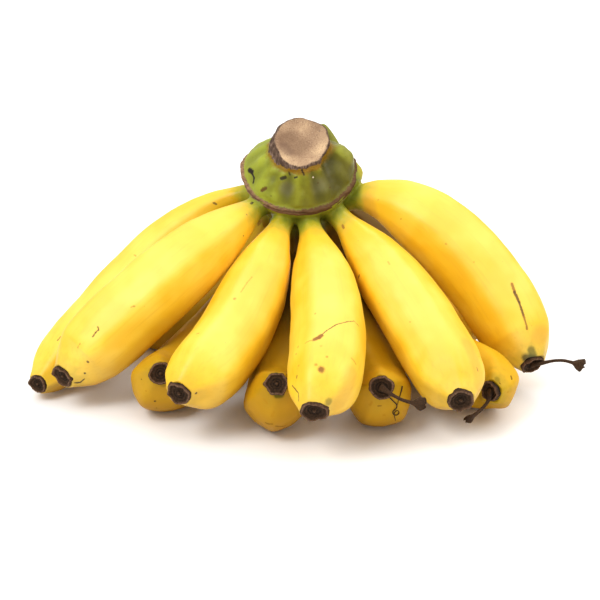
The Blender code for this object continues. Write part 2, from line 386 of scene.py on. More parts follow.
def smooth_table(table, x):
    """A table read at x, on a smooth line through its points that never overshoots them."""
    xs, ys = np.array(table, dtype=float).T
    slopes = np.diff(ys) / np.diff(xs)
    before, after = slopes[:-1], slopes[1:]
    total = np.where(before + after == 0, 1, before + after)
    middle = np.where(before * after > 0, 2 * before * after / total, 0)
    bends = np.concatenate([slopes[:1], middle, slopes[-1:]])
    x = np.clip(x, xs[0], xs[-1])
    i = np.clip(np.searchsorted(xs, x, side="right") - 1, 0, len(slopes) - 1)
    step = xs[i + 1] - xs[i]
    t = (x - xs[i]) / step
    level = ys[i] + (ys[i + 1] - ys[i]) * t * t * (3 - 2 * t)
    return level + step * (t * (1 - t) ** 2 * bends[i] - t * t * (1 - t) * bends[i + 1])


def smoothstep(low, high, x):
    t = np.clip((x - low) / (high - low), 0, 1)
    return t * t * (3 - 2 * t)


def waves(degrees, *parts):
    """A sum of waves round a circle, each given as a count, a height and a shift in degrees."""
    return sum(high * np.cos(np.radians(count * degrees + shift)) for count, high, shift in parts)


print("helpers ready")

# %% [markdown]
# ## One straight finger
#
# A ripe finger is thin at the neck, swells to its full girth past the middle and rounds off quickly
# to a blunt end. Its section isn't round: five long ridges run down it, with nearly flat faces
# between, and they stand out more where they meet at the tip. One straight finger is grown ring by
# ring, given its ridges, and then copied.

# %% Grow the straight finger
PROFILE = (
    (0.00, 0.38), (0.10, 0.31), (0.20, 0.51), (0.30, 0.745), (0.45, 0.93), (0.62, 0.985),
    (0.78, 0.98), (0.88, 0.90), (0.94, 0.72), (0.98, 0.48), (1.00, 0.37),
)
BLANK_LENGTH = 130 * MM
BLANK_RADIUS = 16 * MM
FINGER_SIDES, FINGER_RINGS = 60, 44
RINGS_CROWD = 0.35         # how much closer the rings stand at both ends
FINGER_START = 0.075       # the hidden start inside the stalk
RIDGES = 5
RIDGE_HEIGHT = 0.028
RIDGE_SHARPNESS = 0.010
TIP_RIDGES = 0.032         # what the ridges gain near the tip
NEAR_TIP = (0.84, 0.97)
LIP = ((1.003, 0.352), (1.004, 0.32), (1.001, 0.28), (0.995, 0.22), (0.990, 0.06))   # round the flower


def ridged(points, height, sharpness=0.0):
    """Pushes five soft ridges out of a round section."""
    angle = np.arctan2(points[:, 1], points[:, 0])
    return widened(points, 1 + height * np.cos(RIDGES * angle) + sharpness * np.cos(2 * RIDGES * angle))


even = np.linspace(0, 1, FINGER_RINGS)
shares = FINGER_START + (1 - FINGER_START) * (even - RINGS_CROWD * np.sin(2 * np.pi * even) / (2 * np.pi))
rings = [(s * BLANK_LENGTH, float(smooth_table(PROFILE, s)) * BLANK_RADIUS) for s in shares]
rings += [(BLANK_LENGTH * past, BLANK_RADIUS * radius) for past, radius in LIP]
straight_finger = grow("straight_finger", FINGER_SIDES, rings)
points = points_of(straight_finger)
near_tip = smoothstep(*NEAR_TIP, points[:, 2] / BLANK_LENGTH)
move_points(straight_finger, ridged(points, RIDGE_HEIGHT + TIP_RIDGES * near_tip, RIDGE_SHARPNESS))
finish_with(straight_finger, "SUBSURF", levels=1, render_levels=1)
print("straight finger:", len(straight_finger.data.polygons), "faces")

# %% [markdown]
# ## Twelve bent fingers
#
# Each copy is scaled to its own girth and length and laid along its line. Before it is bent, every
# point remembers where it was on the straight finger, so that streaks and freckles can follow the
# skin. No finger is perfectly even, so a soft cloud pattern dents each one by a fraction of a
# millimetre, and the lower row is pressed flat where it lies on the table.

# %% Bend the fingers
DENT_DEPTH = 1.0 * MM
dents = soft_clouds("skin_dents", 16 * MM)


def lay_along(points, line, roll=0.0):
    """Points of a straight form, given in metres along Z, moved onto a line."""
    points = turned(points, roll)
    station = points[:, 2] / line.length * STATIONS
    i = np.clip(station.astype(int), 0, STATIONS - 1)
    part = (station - i)[:, None]
    place, side, across = (rows[i] * (1 - part) + rows[i + 1] * part
                           for rows in (line.place, line.side, line.across))
    return place + side * points[:, :1] + across * points[:, 1:2]


def make_finger(name):
    line = LINES[name]
    piece = copy_of(straight_finger, "skin_" + name)
    wide, long = line.girth / 2 / BLANK_RADIUS, line.length / BLANK_LENGTH
    only(piece)
    bpy.ops.object.mode_set(mode="EDIT")
    bpy.ops.mesh.select_all(action="SELECT")
    bpy.ops.transform.resize(value=(wide, wide, long), center_override=(0, 0, 0))
    bpy.ops.object.mode_set(mode="OBJECT")
    points = points_of(piece)
    remember(piece, "straight_mm", points / MM)
    remember(piece, "share", points[:, 2] / line.length)
    move_points(piece, lay_along(points, line, line.roll))
    roughen(piece, dents, DENT_DEPTH)
    if name.startswith("lower"):
        resting = points_of(piece)
        resting[:, 2] = np.maximum(resting[:, 2], 0)
        move_points(piece, resting)
    return piece


fingers = {name: make_finger(name) for name in FINGERS}
for name, piece in fingers.items():
    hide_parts("finger_" + name)
print("fingers:", len(fingers), "with", sum(len(p.data.polygons) for p in fingers.values()), "faces")

# %% [markdown]
# ## Crown
#
# The crown is the end of the big stem that carried the hand. Its lower part is a fleshy pad that the
# stalks grow out of, with no seam between them. Pad and stalks are grown as separate forms, joined,
# and turned into one skin with a voxel Remesh modifier, and a Smooth modifier then fills the corners
# between them as flesh does.

# %% Pad and stalks
PAD = (
    (-30, 4), (-28, 10.5), (-23, 17.6), (-16, 21.6), (-9, 24.0), (-6, 25.6), (-3.5, 27.0),
    (-1.5, 27.5), (0.5, 26.5), (2, 24.5), (4, 20),
)
PAD_SWELL = (
    (-30, 0), (-23, 0.0), (-16, 1.2), (-9, 1.5), (-3, 0.9), (-1.2, 0.4), (0.8, 0.2), (3, 0.1), (4, 0),
)
SWELL_SIZE, SWELL_TURN, SWELL_WIDTH = 0.16, 94, 17
FLAT_BEHIND = 0.72
PAD_SIDES, STALK_SIDES, STALK_RINGS = 96, 45, 22
STALK_END = 0.20
STALK_SINKS_FROM, STALK_SINKS_TO = 0.11, 0.19     # shares of the length where it slips into its finger
STALK_WIDER, STALK_SINKS = 1.03, 0.09             # its width before that, and how much it loses
VOXEL = 0.75 * MM
FAR_BELOW = -50                                   # a height in mm that is no part of the dome


def bearing_of(points):
    """Degrees round the crown's axis, 0 in front and positive to the right."""
    return np.degrees(np.arctan2(points[:, 0], -points[:, 1]))


def to_crown(points, back=FLAT_BEHIND, roundness=2.5):
    """Points given round Z, in metres, moved onto the leaning crown and flattened behind it."""
    forward, sideways, up = -points[:, 1], points[:, 0], points[:, 2]
    radius = np.hypot(forward, sideways) + 1e-9
    behind = (forward < 0) & (np.broadcast_to(back, up.shape) < 1)
    power = 2 / roundness
    squarer_forward = -back * radius * np.abs(forward / radius) ** power
    squarer_side = radius * np.sign(sideways) * np.abs(sideways / radius) ** power
    forward = np.where(behind, squarer_forward, forward)
    sideways = np.where(behind, squarer_side, sideways)
    directions = np.array([CROWN_FRONT, (1, 0, 0), CROWN_ALONG])
    return np.array(CROWN_CENTRE) + np.stack([forward, sideways, up], axis=1) @ directions


def swollen(points):
    """The pad stands out on the right, where a thick stalk joins it."""
    swell = SWELL_SIZE * smooth_table(PAD_SWELL, points[:, 2] / MM)
    return widened(points, 1 + swell * np.exp(-((bearing_of(points) - SWELL_TURN) / SWELL_WIDTH) ** 2))


def make_stalk(name):
    line = LINES[name]
    rings = []
    for share in np.linspace(0, STALK_END, STALK_RINGS):
        sunk = np.clip((share - STALK_SINKS_FROM) / (STALK_SINKS_TO - STALK_SINKS_FROM), 0, 1)
        radius = float(smooth_table(PROFILE, share)) * line.girth / 2 * (STALK_WIDER - STALK_SINKS * sunk)
        rings.append((share * line.length, radius))
    stalk = grow("stalk_" + name, STALK_SIDES, rings)
    move_points(stalk, ridged(points_of(stalk), RIDGE_HEIGHT))
    move_points(stalk, lay_along(points_of(stalk), line, line.roll))
    return stalk


pad = grow("crown_skin", PAD_SIDES, [(height * MM, radius * MM) for height, radius in PAD])
move_points(pad, to_crown(swollen(points_of(pad))))
only(pad, *[make_stalk(name) for name in FINGERS])
bpy.ops.object.join()
crown = bpy.context.object
finish_with(crown, "REMESH", mode="VOXEL", voxel_size=VOXEL, use_smooth_shade=True)
finish_with(crown, "SMOOTH", factor=0.5, iterations=10)
roughen(crown, dents, DENT_DEPTH)
remember(crown, "height_mm", FAR_BELOW)
print("pad and stalks:", len(crown.data.polygons), "faces")

# %% Which stalks belong to the lower row
BARE_UNTIL = 5             # stations of each line that lie deep inside the pad
PAD_REACH = (27, 34)       # mm from the crown's middle, over which the pad gives way to the stalks
owners = [(place, name.startswith("lower")) for name, line in LINES.items()
          for place in line.place[BARE_UNTIL:STATIONS // 3]]
nearest = kdtree.KDTree(len(owners))
for i, (place, _) in enumerate(owners):
    nearest.insert(place, i)
nearest.balance()
lower_stalk = [owners[nearest.find(vertex.co)[1]][1] for vertex in crown.data.vertices]
from_middle = np.linalg.norm(points_of(crown) - np.array(CROWN_CENTRE), axis=1) / MM
# the stalks of the lower row get painted shade from the crown's material, none on the pad
remember(crown, "lower_stalk", lower_stalk * smoothstep(*PAD_REACH, from_middle))
print("points on stalks of the lower row:", sum(lower_stalk))

# %% [markdown]
# ## Dome, scar and cut
#
# Above the stalks the crown closes to the cut stem. Its sides are fluted where leaf bases lay against
# it, and a ring like a frayed brown rope marks where they tore off. The cut was made with a knife
# and has dried: its rim stands a little proud, and its outline is a rounded polygon, not a circle.

# %% Dome and stub
DOME_SIDES = 240
RINGS_PER_ROW = 3
DOME = (  # height and radius in mm, share of the fluting, depth behind, and share of the stub's lean
    (-5.0, 21.0, 0.0, 0.72, 0.0),
    (-2.6, 25.2, 0.0, 0.72, 0.0),
    (-2.2, 26.6, 0.0, 0.72, 0.0),    # lower edge of the scar
    (-1.5, 27.6, 0.0, 0.72, 0.0),
    (-0.3, 28.0, 0.1, 0.72, 0.0),
    (0.6, 27.7, 0.1, 0.72, 0.0),
    (1.2, 26.9, 0.2, 0.72, 0.0),     # upper edge of the scar
    (1.8, 26.4, 0.4, 0.72, 0.0),
    (3.0, 26.2, 0.8, 0.74, 0.0),
    (5.0, 24.9, 1.0, 0.76, 0.0),
    (7.0, 23.0, 1.0, 0.76, 0.0),
    (9.0, 21.1, 1.0, 0.76, 0.0),
    (11.0, 18.9, 1.0, 0.77, 0.0),
    (12.6, 16.9, 0.9, 0.80, 0.0),
    (13.6, 15.6, 0.7, 0.84, 0.1),
    (14.4, 14.9, 0.4, 0.88, 0.1),    # foot of the stub
    (15.4, 14.4, 0.3, 0.92, 0.3),
    (17.0, 13.9, 0.2, 0.96, 0.5),
    (18.6, 13.4, 0.2, 1.00, 0.8),
    (19.4, 13.1, 0.2, 1.00, 1.0),    # rim of the cut
    (19.6, 12.6, 0.2, 1.00, 1.0),
    (19.4, 11.8, 0.2, 1.00, 1.0),
    (19.0, 10.0, 0.1, 1.00, 1.0),
    (18.7, 7.5, 0.0, 1.00, 1.0),
    (18.6, 5.0, 0.0, 1.00, 1.0),
    (18.7, 2.5, 0.0, 1.00, 1.0),
    (18.8, 0.4, 0.0, 1.00, 1.0),
)
# Bearing of each groove from the front, its width in degrees and its depth in mm
GROOVES = (
    (-150, 14, 1.2), (-118, 12, 1.0), (-92, 11, 1.4), (-66, 12, 1.6), (-38, 9, 1.3), (-15, 9, 2.1),
    (6, 6, 1.1), (24, 9, 2.2), (52, 14, 2.7), (80, 10, 1.2), (108, 12, 1.2), (140, 15, 1.3), (172, 12, 1.0),
)
STUB_TILT = 3.5 * MM
STUB_LEAN = 1.2 * MM
STUB_CORNERS = ((3, 0.030, 40), (5, 0.022, 100), (8, 0.012, 20), (13, 0.006, 200))
SCAR_WAVES = ((4, 0.25, 20), (9, 0.22, 130), (23, 0.14, 60), (41, 0.10, 10))
SCAR_LOWER, SCAR_UPPER = (-2.6, -1.2), (0.6, 1.9)     # mm over which the scar begins and ends
STRAND_WAVES = ((3, 0.5, 70), (7, 0.3, 0))
STRAND_GAP, GAP_WIDTH, GAP_DEPTH = -0.2, 0.35, 0.7    # the gap between its two strands, in mm
STUB_FOOT = (14.0, 17.0)                              # mm over which the dome becomes the stub
STUB_RADIUS, DEEPEST_GROOVE = 13.1 * MM, 2.2 * MM
CUT_FROM, NOT_CUT = 18, 20                            # height in mm, and a radius that stands for bark
CORK_SIZE, CORK_DEPTH = 1.6 * MM, 0.35 * MM
# Pixel where the photograph shows a dent, its size and depth in mm, how much shade is painted into it (less
# where negative), and how grey it is
DENTS = (
    ((344, 156), 5.2, -3.6, -0.6, 0.3), ((337, 150), 4.0, -2.6, -0.5, 0.3), ((330, 161), 4.0, 3.0, 0.9, 0.0),
    ((320, 168), 2.6, -0.7, -0.4, 0.0), ((286, 189), 3.6, 0.9, 0.0, 1.0), ((321, 186), 4.4, 1.0, 0.0, 0.8),
    ((303, 192), 2.2, -0.5, -0.3, 0.2),
    ((262, 160), 3.4, -0.6, -0.4, 0.0), ((272, 178), 2.4, 0.5, 0.3, 0.3),
)


def groove_depth(bearing):
    """How deep the fluting is at a bearing, in metres."""
    total = np.zeros_like(bearing)
    for centre, width, depth in GROOVES:
        away = (bearing - centre + 180) % 360 - 180
        total += depth * MM * np.exp(-(away / width) ** 2)
    return total


rows = np.linspace(0, len(DOME) - 1, (len(DOME) - 1) * RINGS_PER_ROW + 1)
columns = [smooth_table(tuple(enumerate(column)), rows) for column in zip(*DOME)]
dome = grow("dome", DOME_SIDES, [(h * MM, r * MM) for h, r in zip(columns[0], columns[1])])
points = points_of(dome)
ring = np.minimum(np.arange(len(points)) // DOME_SIDES, len(rows) - 1)
fluted, behind, stub = (column[ring] for column in columns[2:])
bearing = bearing_of(points)
height = points[:, 2] / MM
radius = np.hypot(points[:, 0], points[:, 1])
depth = groove_depth(bearing) * fluted
on_scar = smoothstep(*SCAR_LOWER, height) * (1 - smoothstep(*SCAR_UPPER, height))
between_strands = np.exp(-((height - STRAND_GAP - waves(bearing, *STRAND_WAVES)) / GAP_WIDTH) ** 2)
on_stub = smoothstep(*STUB_FOOT, height)
radius_new = radius - depth + on_scar * (waves(bearing, *SCAR_WAVES) - GAP_DEPTH * between_strands) * MM
radius_new *= 1 + on_stub * waves(bearing, *STUB_CORNERS)
points[:, :2] *= (radius_new / radius)[:, None]
points[:, 2] += on_scar * waves(bearing, *SCAR_WAVES[:2]) * MM
tilt = -STUB_TILT * stub * np.cos(np.radians(bearing)) * np.minimum(radius / STUB_RADIUS, 1)
placed = to_crown(points, back=behind)
placed += np.outer(tilt, CROWN_ALONG) + np.outer(STUB_LEAN * stub, (1, 0, 0))
move_points(dome, placed)
bpy.context.view_layer.update()
shade, bloom = depth / DEEPEST_GROOVE, np.zeros(len(placed))
for pixel, size, deep, dark, grey in DENTS:
    centre = seen_at(pixel, dome)
    near = np.exp(-(np.linalg.norm(placed - np.array(centre), axis=1) / (size * MM)) ** 2)
    placed -= np.outer(near * deep * MM, (centre - CROWN_CENTRE).normalized())
    shade += near * dark
    bloom += near * grey
move_points(dome, placed)
# painted shade for the flutes and dents, read by the crown's material
remember(dome, "groove", np.clip(shade, 0, 1))
remember(dome, "bloom", np.clip(bloom, 0, 1))
remember(dome, "height_mm", height)
remember(dome, "radius_mm", np.where(height > CUT_FROM, radius / MM, NOT_CUT))
remember(dome, "strand", on_scar * between_strands)
roughen(dome, dents, DENT_DEPTH)
roughen(dome, soft_clouds("cork_roughness", CORK_SIZE, depth=3), CORK_DEPTH)
print("dome:", len(dome.data.polygons), "faces")

# %% [markdown]
# ## Base of a bract
#
# Behind the stub on the right a strip of green rib still stands, the base of the bract that once
# covered the flowers. It is one more grown form, sunk into the dome and turned to lean on the stub.

# %% Rib beside the stub
RIB = ((0, 6.4), (3, 6.0), (6, 5.2), (9, 4.2), (12, 3.1), (14.0, 2.1), (15.2, 1.1), (15.5, 0.3))
RIB_FLATNESS = 0.6
RIB_PLACE = Vector((12.3, 61.5, 99.5)) * MM
RIB_HEADING = Vector((-0.24, -0.10, 0.97)).normalized()
RIB_SIDES = 32
RIB_HEIGHT_MM, RIB_BLOOM = 8.0, 0.4      # it is coloured like the dome at this height

rib = grow("rib", RIB_SIDES, [(h * MM, r * MM) for h, r in RIB])
points = points_of(rib)
points[:, 1] *= RIB_FLATNESS
side = RIB_HEADING.cross(Vector((0, 1, 0))).normalized()
across = RIB_HEADING.cross(side)
move_points(rib, np.array(RIB_PLACE) + points @ np.array([side, across, RIB_HEADING]))
finish_with(rib, "SUBSURF", levels=1, render_levels=1)
remember(rib, "height_mm", RIB_HEIGHT_MM)
remember(rib, "bloom", RIB_BLOOM)
print("rib:", len(rib.data.polygons), "faces")

# %% [markdown]
# ## Dry flower ends
#
# When the flower drops it leaves a scar like a small dark crater: a raised, roughly six-sided rim of
# dried sepal bases, steps inside it, and the stump of the style in the middle. The crater is grown
# ring by ring from a hexagonal outline, and clouds crumble each copy in its own way, because the
# pattern is fixed in space and every copy lies elsewhere.

# %% Grow the crater
CRATER = (  # height and radius, as shares of the end's radius
    (-0.25, 0.84), (-0.02, 1.00), (0.14, 1.02), (0.30, 1.00), (0.40, 0.96), (0.44, 0.91), (0.42, 0.86),
    (0.32, 0.81), (0.22, 0.74), (0.20, 0.66), (0.25, 0.60), (0.25, 0.55), (0.15, 0.48), (0.12, 0.42),
    (0.18, 0.36), (0.20, 0.30), (0.12, 0.25), (0.12, 0.20), (0.22, 0.15), (0.32, 0.11), (0.36, 0.06),
    (0.36, 0.02),
)
CRATER_SIDES = 72
RIM_SHARE = 0.44           # height of the rim in that table
END_STANDS = 2.0 * MM      # how far the rim stands in front of the finger's last section
END_TURNS = {"upper_3": 10, "upper_4": 22, "upper_5": 35, "lower_3": 0, "lower_4": 18}   # degrees
END_SQUASH = {"upper_2": 0.86, "upper_4": 0.88, "lower_5": 0.86}      # height over width
END_CORNERS = {"lower_3": 0.06, "upper_3": 0.04, "upper_2": 0.04}
END_CORNERS_USUAL = 0.02
# how much of the finger's end the crater takes up
END_WIDTH = {"upper_1": 1.05, "upper_2": 0.92, "upper_3": 0.93, "upper_4": 0.92, "upper_5": 0.96,
             "upper_6": 0.92, "lower_3": 0.97, "lower_4": 0.92}
END_FACES = {"lower_5": (-50, -8)}         # this one dried askew
CRUMBLES = ((soft_clouds("crumbled_flower", 1.9 * MM, depth=3), 0.55 * MM),
            (soft_clouds("flower_crumbs", 0.6 * MM, depth=2), 0.35 * MM))

crater = grow("crater", CRATER_SIDES, CRATER)


def make_end(name, shift):
    line = LINES[name]
    faces = heading(*END_FACES[name]) if name in END_FACES else line.faces
    end = copy_of(crater, "dry_flower_" + name)
    points = points_of(end)
    angle = np.degrees(np.arctan2(points[:, 1], points[:, 0]))
    reach = np.hypot(points[:, 0], points[:, 1])
    remember(end, "depth", points[:, 2])
    outline = END_CORNERS.get(name, END_CORNERS_USUAL) * waves(angle, (6, 1, 0), (12, 0.35, 0))
    outline += waves(angle, (2, 0.03, shift), (3, 0.03, 2 * shift), (5, 0.02, 3 * shift), (9, 0.012, shift))
    points[:, :2] *= (1 + smoothstep(0.2, 0.8, reach) * outline)[:, None]
    points[:, 2] += 0.05 * smoothstep(0.6, 0.9, reach) * waves(angle, (4, 1, shift), (7, 0.6, 20))
    wide = line.end / 2 * END_WIDTH.get(name, 1)
    points *= wide
    points[:, 1] *= END_SQUASH.get(name, 1)
    x, y, z = turned(points, END_TURNS.get(name, 0)).T
    side = faces.cross(Vector((0, 0, 1))).normalized()
    across = faces.cross(side)
    centre = np.array(line.tip + line.faces * (END_STANDS - RIM_SHARE * wide))
    move_points(end, centre + np.outer(x, side) + np.outer(y, across) + np.outer(z, faces))
    for texture, relief in CRUMBLES:
        roughen(end, texture, relief)
    return end


ends = {name: make_end(name, 47 * i) for i, name in enumerate(FINGERS)}
bpy.data.objects.remove(crater)
print("flower ends:", len(ends), "with", sum(len(e.data.polygons) for e in ends.values()), "faces")

# %% [markdown]
# ## Dry styles
#
# Three flowers kept their style, a thin dry stalk that carried the stigma and still ends in its torn
# club. It twists a little as it dries, so it isn't round and not quite even. Two hairs of the same
# stuff hang from the end between the middle fingers. Routes are given in mm from the flower end, and
# cutting off their corners three times makes them the soft curves of a dried stalk.

# %% Grow the styles
STYLES = {
    "upper_6": ((0, 0, 0), (3.5, -2, 1), (8, -3, 3), (13, -3.5, 3.5), (18, -4, 2.5), (23.2, -4.4, 0.9)),
    "lower_4": ((0, 0, 0), (3, -3.5, -1), (6.5, -5.5, -2.2), (10, -7, -3), (13, -7.5, -3.6), (18, -8, -4.5)),
    "lower_5": ((0, 0, 0), (-1.5, -5, -2.8), (-5, -9, -4.2), (-8, -12, -5.2), (-12.3, -15.4, -6.6)),
}
STYLE_STANDS = 0.6 * MM
STALK_DEPTH = 0.24          # read by the dry flower material: dark, but not as dark as the pit
CLUB_SHARE = {"lower_5": 0.6}      # how much of its club is left
# distance before the style's far end and radius, in mm
CLUB = ((0.0, 0.7), (0.5, 1.9), (1.3, 2.6), (2.4, 2.7), (3.6, 1.9), (4.8, 1.1))
STYLE_RADII = (1.7, 1.05, 0.78, 0.68, 0.72, 0.80)
STYLE_TWIST, STYLE_TURNS = 0.16, 25      # depth of its three edges, and degrees they turn per mm


def cut_corners(route, rounds=3):
    points = [np.array(p, dtype=float) for p in route]
    for _ in range(rounds):
        inner = [a * (1 - part) + b * part for a, b in zip(points, points[1:]) for part in (0.25, 0.75)]
        points = [points[0], *inner, points[-1]]
    return points


def make_style(name, route):
    finger = LINES[name]
    start = np.array(finger.tip + finger.faces * STYLE_STANDS)
    line = Line([start + p * MM for p in cut_corners(route)])
    long = line.length / MM
    table = [(0.0, STYLE_RADII[0])]
    table += [((long - 5.5) * (i + 1) / 5, r) for i, r in enumerate(STYLE_RADII[1:])]
    club = CLUB_SHARE.get(name, 1)
    table += [(long - before, max(r * club, STYLE_RADII[-1])) for before, r in reversed(CLUB)]
    stops = np.concatenate([np.linspace(0, long - 5.2, 36), np.linspace(long - 5, long, 18)])
    style = grow("style_" + name, 18, [(d * MM, float(smooth_table(table, d)) * MM) for d in stops])
    points = points_of(style)
    angle = np.degrees(np.arctan2(points[:, 1], points[:, 0]))
    distance = points[:, 2] / MM
    ragged = smoothstep(long - 3.6, long - 0.5, distance)
    twist = 1 + STYLE_TWIST * np.cos(np.radians(3 * angle + STYLE_TURNS * distance))
    twist += ragged * waves(angle, (3, 0.4, 0), (7, 0.2, 40))
    points = widened(points, twist)
    points[:, 2] += ragged * waves(angle, (4, 0.5, 0), (7, 0.3, 90)) * MM
    move_points(style, lay_along(points, line))
    remember(style, "depth", STALK_DEPTH)
    return style


for name, route in STYLES.items():
    only(ends[name], make_style(name, route))
    bpy.ops.object.join()
print("styles:", list(STYLES))

# %% [markdown]
# ## Marks from the photograph
#
# Scratches, bruises and specks lie where the photograph shows them, and so do a few tan strokes of
# painted shade. Each is listed in pixels, and becomes a short stroke in space that a material can
# measure its distance to, which keeps its edge sharp at any size.

# %% Marks
# The tan strokes are painted shade on shaded faces and necks of the upper fingers; the other colours are
# marks of the skin.
SCRATCH, BRUISE, FADED, TINGE, PAINTED_SHADE_TAN = "#553308", "#8A5612", "#A8740C", "#4C4C08", "#D29A2C"
BLACK = "#1E130A"
# For each piece: the mark's colour, half its width in mm, its strength, and its pixels
MARKS = {
    "upper_1": (
        (SCRATCH, 0.35, 0.8, (57.5, 340.5), (60.5, 336.8)), (SCRATCH, 0.6, 0.8, (214, 203), (216, 204)),
        (FADED, 0.4, 0.6, (134, 255), (136, 256)),
    ),
    "upper_2": (
        (SCRATCH, 0.4, 0.8, (98, 327), (98.6, 330), (95.7, 332.3), (92.7, 336.8)),
        (FADED, 0.35, 0.7, (80, 343.5), (77.7, 348)), (SCRATCH, 0.75, 0.9, (87.8, 361.9)),
        (BLACK, 0.6, 0.95, (84.8, 373.2)), (BLACK, 0.35, 0.9, (74.7, 382.8), (80, 382.5), (84.5, 378.8)),
        (FADED, 0.5, 0.6, (134.3, 306.5)), (SCRATCH, 0.4, 0.8, (246.9, 214.7)),
        (SCRATCH, 0.4, 0.8, (243.4, 235.7)), (FADED, 0.35, 0.6, (133.8, 306.3), (131, 307)),
        (BLACK, 0.8, 0.8, (251.3, 203.6), (252.6, 202.4)),
    ),
    "upper_3": (
        (BRUISE, 0.75, 0.6, (234.5, 298.8)), (SCRATCH, 0.3, 0.6, (196.5, 334), (199, 333.2)),
        (BLACK, 0.6, 0.95, (196, 393.3)), (FADED, 0.3, 0.5, (241, 292), (247, 283), (252, 277)),
    ),
    "upper_4": (
        (FADED, 0.3, 0.7, (305.1, 343.3), (309, 341), (311.9, 340.5)),
        (BRUISE, 1.0, 0.95, (314.5, 339.6), (318.6, 337.7), (321.5, 335.4)),
        (SCRATCH, 0.28, 0.85, (322, 334.6), (325.4, 331.5), (330.4, 328.1), (337.2, 324.2)),
        (SCRATCH, 0.25, 0.8, (337.2, 324.2), (346.2, 321.9), (354, 321.1), (358.8, 326.1)),
        (BRUISE, 1.5, 0.95, (321.2, 369.5)), (FADED, 0.7, 0.7, (316, 364.7)),
        (FADED, 0.55, 0.7, (327, 356.8)), (SCRATCH, 0.45, 0.7, (296.1, 354)),
        (FADED, 0.5, 0.7, (298.7, 365.6)), (SCRATCH, 0.5, 0.7, (296.7, 377.6), (297, 376)),
        (FADED, 0.5, 0.6, (315.3, 313.5)), (FADED, 0.6, 0.5, (298, 347)), (FADED, 0.6, 0.4, (321, 346)),
        (SCRATCH, 0.3, 0.9, (292.2, 385.5), (296.1, 390), (298.4, 393.4)),
        (BLACK, 0.3, 0.9, (298.4, 393.4), (298.9, 397), (298.7, 401.2)),
        (FADED, 0.4, 0.6, (351.3, 357.9), (355.8, 364.1)), (TINGE, 1.8, 0.6, (328.6, 402)),
        (BRUISE, 0.4, 0.7, (322, 213), (321, 216)), (PAINTED_SHADE_TAN, 4.5, 0.4, (352, 375), (340, 402)),
    ),
    "upper_5": (
        (SCRATCH, 0.6, 0.85, (359.2, 275.6), (358.6, 277.4)),
        (BRUISE, 0.7, 0.8, (342.6, 225.5), (343.6, 228)),
        (SCRATCH, 0.4, 0.85, (476.8, 367.6), (477.9, 370.8)), (FADED, 0.4, 0.5, (388, 262), (389.5, 264)),
        (FADED, 0.45, 0.5, (410, 322)), (PAINTED_SHADE_TAN, 4.0, 0.45, (468, 345), (480, 385)),
    ),
    "upper_6": (
        (BRUISE, 0.8, 0.85, (512, 284), (514.5, 292)), (SCRATCH, 0.8, 0.9, (514.5, 292), (518.9, 301.7)),
        (SCRATCH, 0.6, 0.9, (518.9, 301.7), (523.4, 315.2)),
        (BRUISE, 0.6, 0.85, (523.4, 315.2), (527, 329)), (PAINTED_SHADE_TAN, 5.0, 0.5, (532, 265), (541, 335)),
        (PAINTED_SHADE_TAN, 4.0, 0.45, (368, 200), (372, 212)), (FADED, 0.6, 0.6, (446, 244)),
        (FADED, 0.55, 0.5, (401, 219)), (FADED, 0.5, 0.5, (378, 200)), (FADED, 0.5, 0.5, (430, 272)),
        (FADED, 0.4, 0.5, (474, 262)), ("#2A2A05", 2.3, 0.85, (526, 358), (538, 357)),
        ("#454806", 2.0, 0.75, (531, 350), (533, 355)),
    ),
    "lower_2": (
        (BLACK, 0.55, 0.85, (154.9, 401.2)), (SCRATCH, 0.4, 0.7, (141.7, 379.3)),
        (SCRATCH, 0.5, 0.7, (156.6, 408)), (SCRATCH, 0.5, 0.7, (152, 353), (151, 356)),
        (FADED, 0.5, 0.6, (146, 391)), (TINGE, 1.8, 0.35, (164, 384)),
    ),
    "lower_3": (
        (TINGE, 1.5, 0.85, (277, 395.3), (281, 395)), (TINGE, 1.0, 0.7, (276.6, 374)),
        (FADED, 0.5, 0.5, (264, 399), (267, 403)), (SCRATCH, 0.6, 0.55, (266, 423), (272, 424)),
        (SCRATCH, 0.5, 0.6, (276, 426), (285, 426)), (FADED, 0.6, 0.4, (274, 412), (272, 416)),
    ),
    "lower_4": (
        (FADED, 0.6, 0.6, (372, 402), (370, 405)), (SCRATCH, 0.4, 0.6, (378, 406), (381, 406)),
        (FADED, 0.6, 0.5, (390, 371)), (FADED, 0.8, 0.5, (384, 415)),
    ),
    "lower_5": (
        (SCRATCH, 0.45, 0.8, (499.7, 383.3)), (SCRATCH, 0.4, 0.8, (511, 376), (511.7, 379.2)),
        (TINGE, 1.3, 0.45, (497, 379), (499, 390)), (FADED, 0.5, 0.6, (508, 392)),
    ),
    "stub": (
        ("#6B503C", 6.0, 0.55, (289, 141), (297, 147)), ("#5E463A", 2.6, 0.4, (284, 147), (288, 152)),
        ("#5E4C44", 0.5, 0.6, (319.5, 131)), ("#6B5648", 0.4, 0.6, (317, 135)),
    ),
    "crown": (
        (BLACK, 1.3, 1.0, (249.3, 169.8), (252, 172)),
        (BLACK, 0.55, 1.0, (252, 173), (254, 178), (253.2, 183)),
        (SCRATCH, 0.9, 0.9, (262, 190.4), (265.4, 188.2)), (BLACK, 0.7, 0.9, (250, 204.4), (252.4, 202.6)),
        (BLACK, 0.9, 0.9, (281.5, 178.5), (285, 177.4)), (BLACK, 0.5, 0.9, (294.6, 177.8), (297, 177)),
        (BLACK, 0.5, 0.9, (302, 170), (304, 175)), (BLACK, 0.4, 0.8, (289, 172), (290, 175)),
        (BLACK, 0.5, 0.9, (337.6, 136.6), (340, 138)), ("#E8D2B4", 0.45, 0.8, (312.9, 177.4)),
        (SCRATCH, 0.4, 0.7, (318, 183)), (SCRATCH, 0.35, 0.7, (330, 187.6)),
        (SCRATCH, 0.4, 0.7, (271, 196)),
    ),
}


